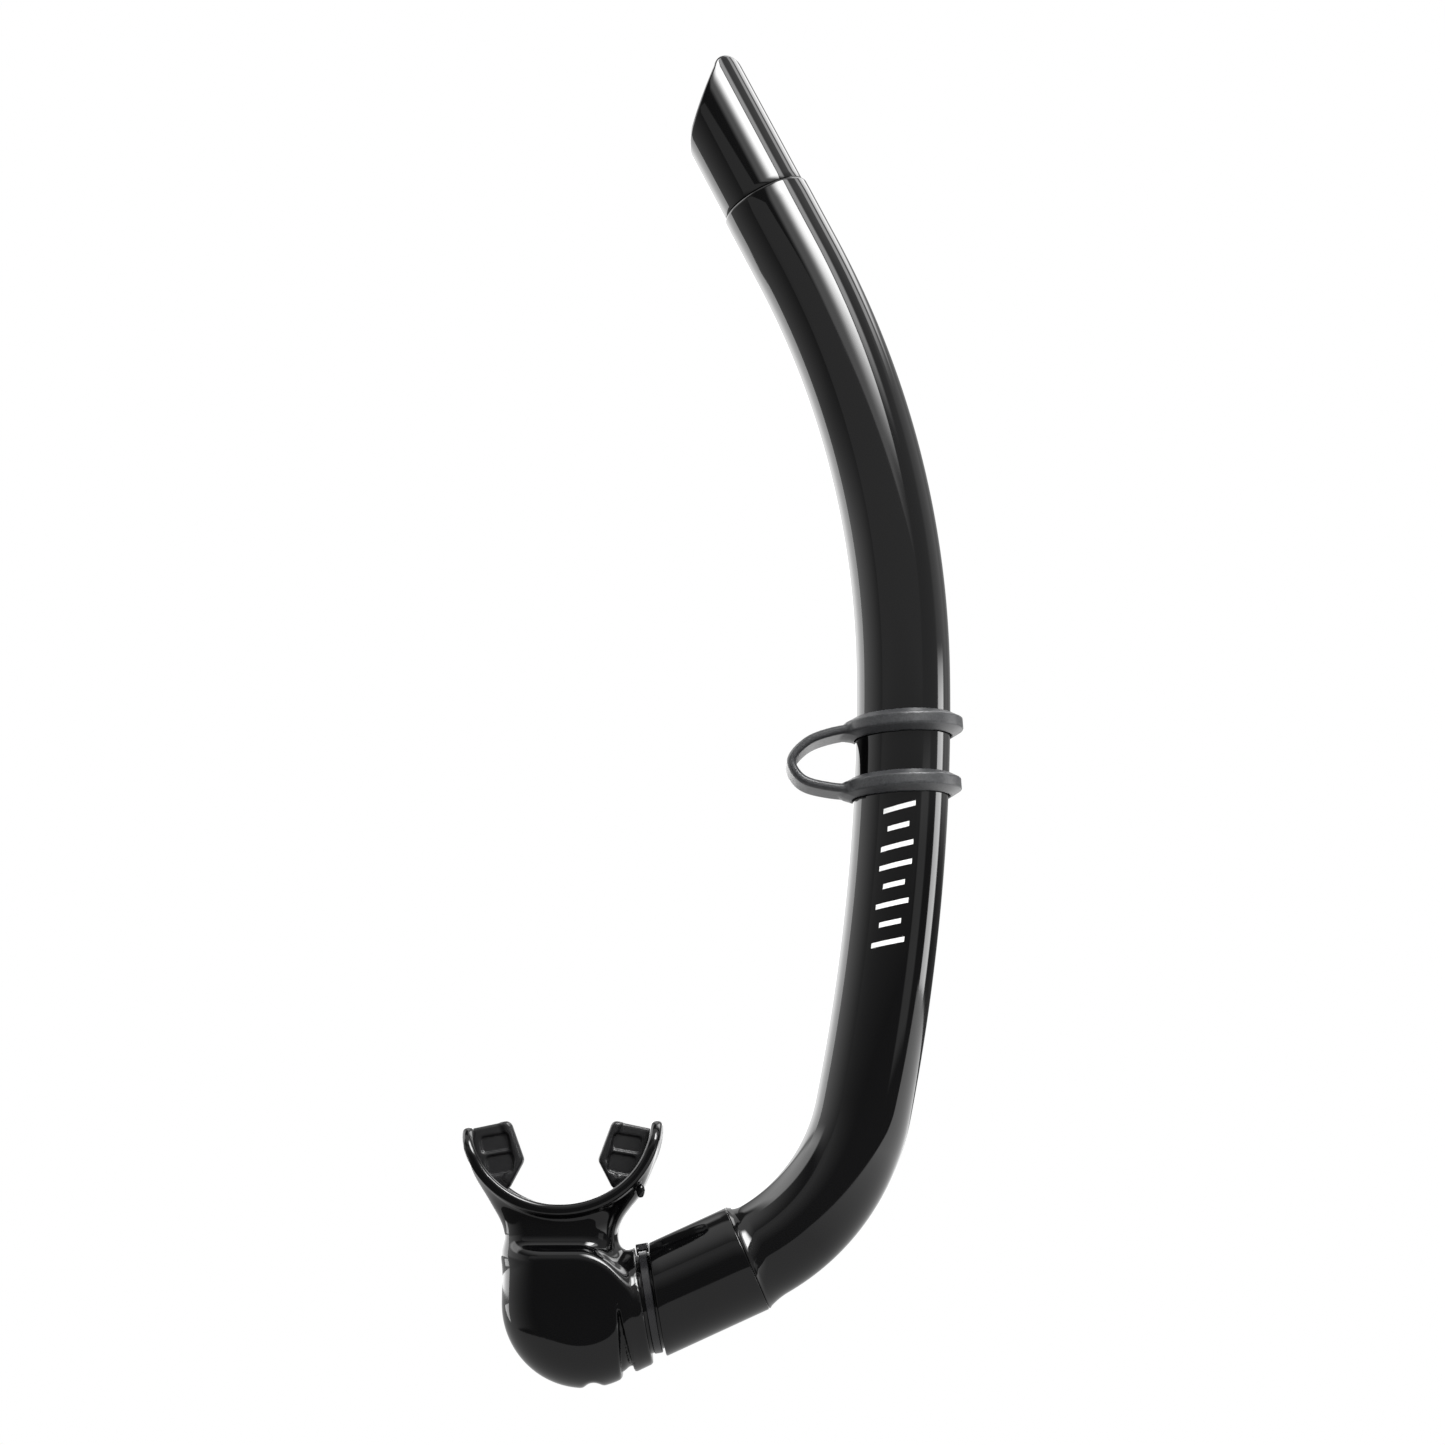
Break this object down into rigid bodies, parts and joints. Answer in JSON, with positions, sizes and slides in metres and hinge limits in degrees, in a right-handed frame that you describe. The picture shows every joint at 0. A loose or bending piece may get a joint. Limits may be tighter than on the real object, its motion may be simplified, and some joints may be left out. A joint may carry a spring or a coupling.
{
  "type": "snorkel",
  "caption": "J-shaped snorkel with a slant-cut splash tip, a soft swivelling mouthpiece held by a clamp tie, and a sliding rubber strap keeper.",
  "frame": {"origin": "middle of the mouth opening in the lip shield", "axes": "the J lies in the XZ plane; +Z is the way the bite tabs open and the barrel rises, +X runs from the mouthpiece to the barrel, +Y is square to the J"},
  "size_m": [0.1574, 0.0384, 0.4313],
  "materials": {
    "barrel": "glossy black soft PVC",
    "tip": "glossy black soft PVC",
    "mouthpiece": "polished black silicone, matte on the bite tabs",
    "tie": "satin black nylon",
    "keeper": "matte dark grey rubber with a fine grain"
  },
  "bodies": {
    "mouthpiece": {"mouthpiece": "mouthpiece", "clamp_tie": "tie"},
    "barrel": {"tube": "barrel", "splash_tip": "tip"},
    "keeper": {"strap_keeper": "keeper"}
  },
  "joints": [
    {"name": "barrel_swivel", "type": "hinge", "parent": "mouthpiece", "child": "barrel", "pos_m": [0.0575, 0, -0.0165], "axis": [0.9121, 0, 0.4099], "range_deg": [-90, 90]},
    {"name": "keeper_slide", "type": "hinge", "parent": "barrel", "child": "keeper", "pos_m": [-0.5781, 0, 0.16765], "axis": [0, 1, 0], "range_deg": [-2, 7]}
  ]
}
